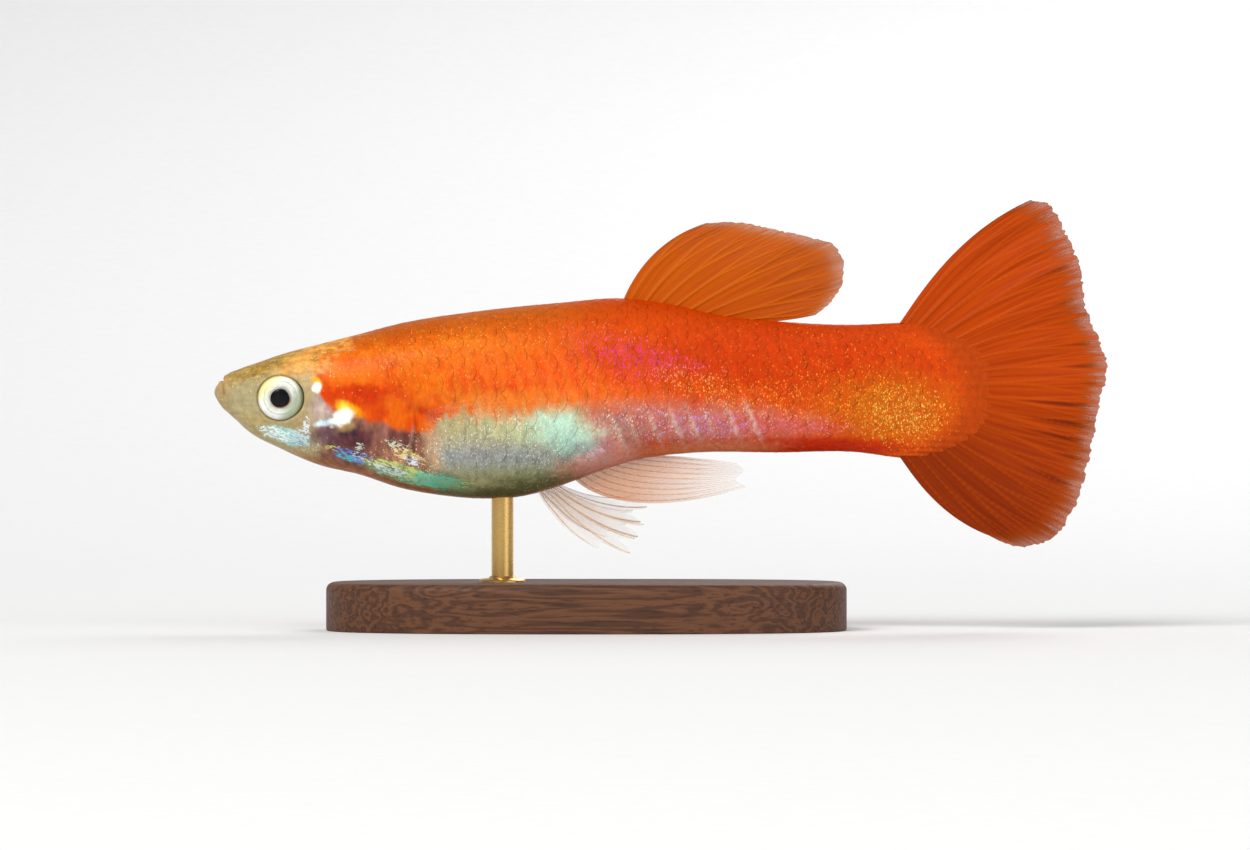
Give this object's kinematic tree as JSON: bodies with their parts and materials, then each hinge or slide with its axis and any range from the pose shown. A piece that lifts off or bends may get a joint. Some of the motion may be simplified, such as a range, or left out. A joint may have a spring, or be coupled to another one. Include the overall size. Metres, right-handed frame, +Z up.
{
  "type": "male guppy model",
  "caption": "Still, life-size male guppy with spread dorsal and tail fins, held over a flat oval base by one short rod.",
  "frame": {"origin": "centre of the whole model's box, on the underside of the base", "axes": "+X towards the tail, -Y towards the fish's left side, +Z up"},
  "size_m": [0.0447, 0.015, 0.0215],
  "materials": {
    "pale_skin": "moist, half clear skin of the head, beige with an olive-gold crown",
    "orange_skin": "moist scaled skin, orange-red with silver, turquoise and violet sheen below",
    "silver_plate": "thin, half clear gill cover with silver and blue spots",
    "eye_silver": "clear wet cornea over a silver iris and a black pupil",
    "orange_fin": "half clear orange membrane on darker rays",
    "clear_fin": "nearly clear membrane on pale jointed rays",
    "walnut": "oiled dark wood, fine grained, with eased edges",
    "brass": "satin rod"
  },
  "bodies": {
    "root": {"head": "pale_skin", "torso": "orange_skin", "tail": "orange_skin", "eye_left": "eye_silver", "eye_right": "eye_silver", "gill_cover_left": "silver_plate", "gill_cover_right": "silver_plate", "dorsal_fin": "orange_fin", "tail_fin": "orange_fin", "anal_fin": "clear_fin", "pelvic_fin_left": "clear_fin", "pelvic_fin_right": "clear_fin", "pectoral_fin_left": "clear_fin", "pectoral_fin_right": "clear_fin", "stand_base": "walnut", "stand_rod": "brass"}
  },
  "joints": []
}
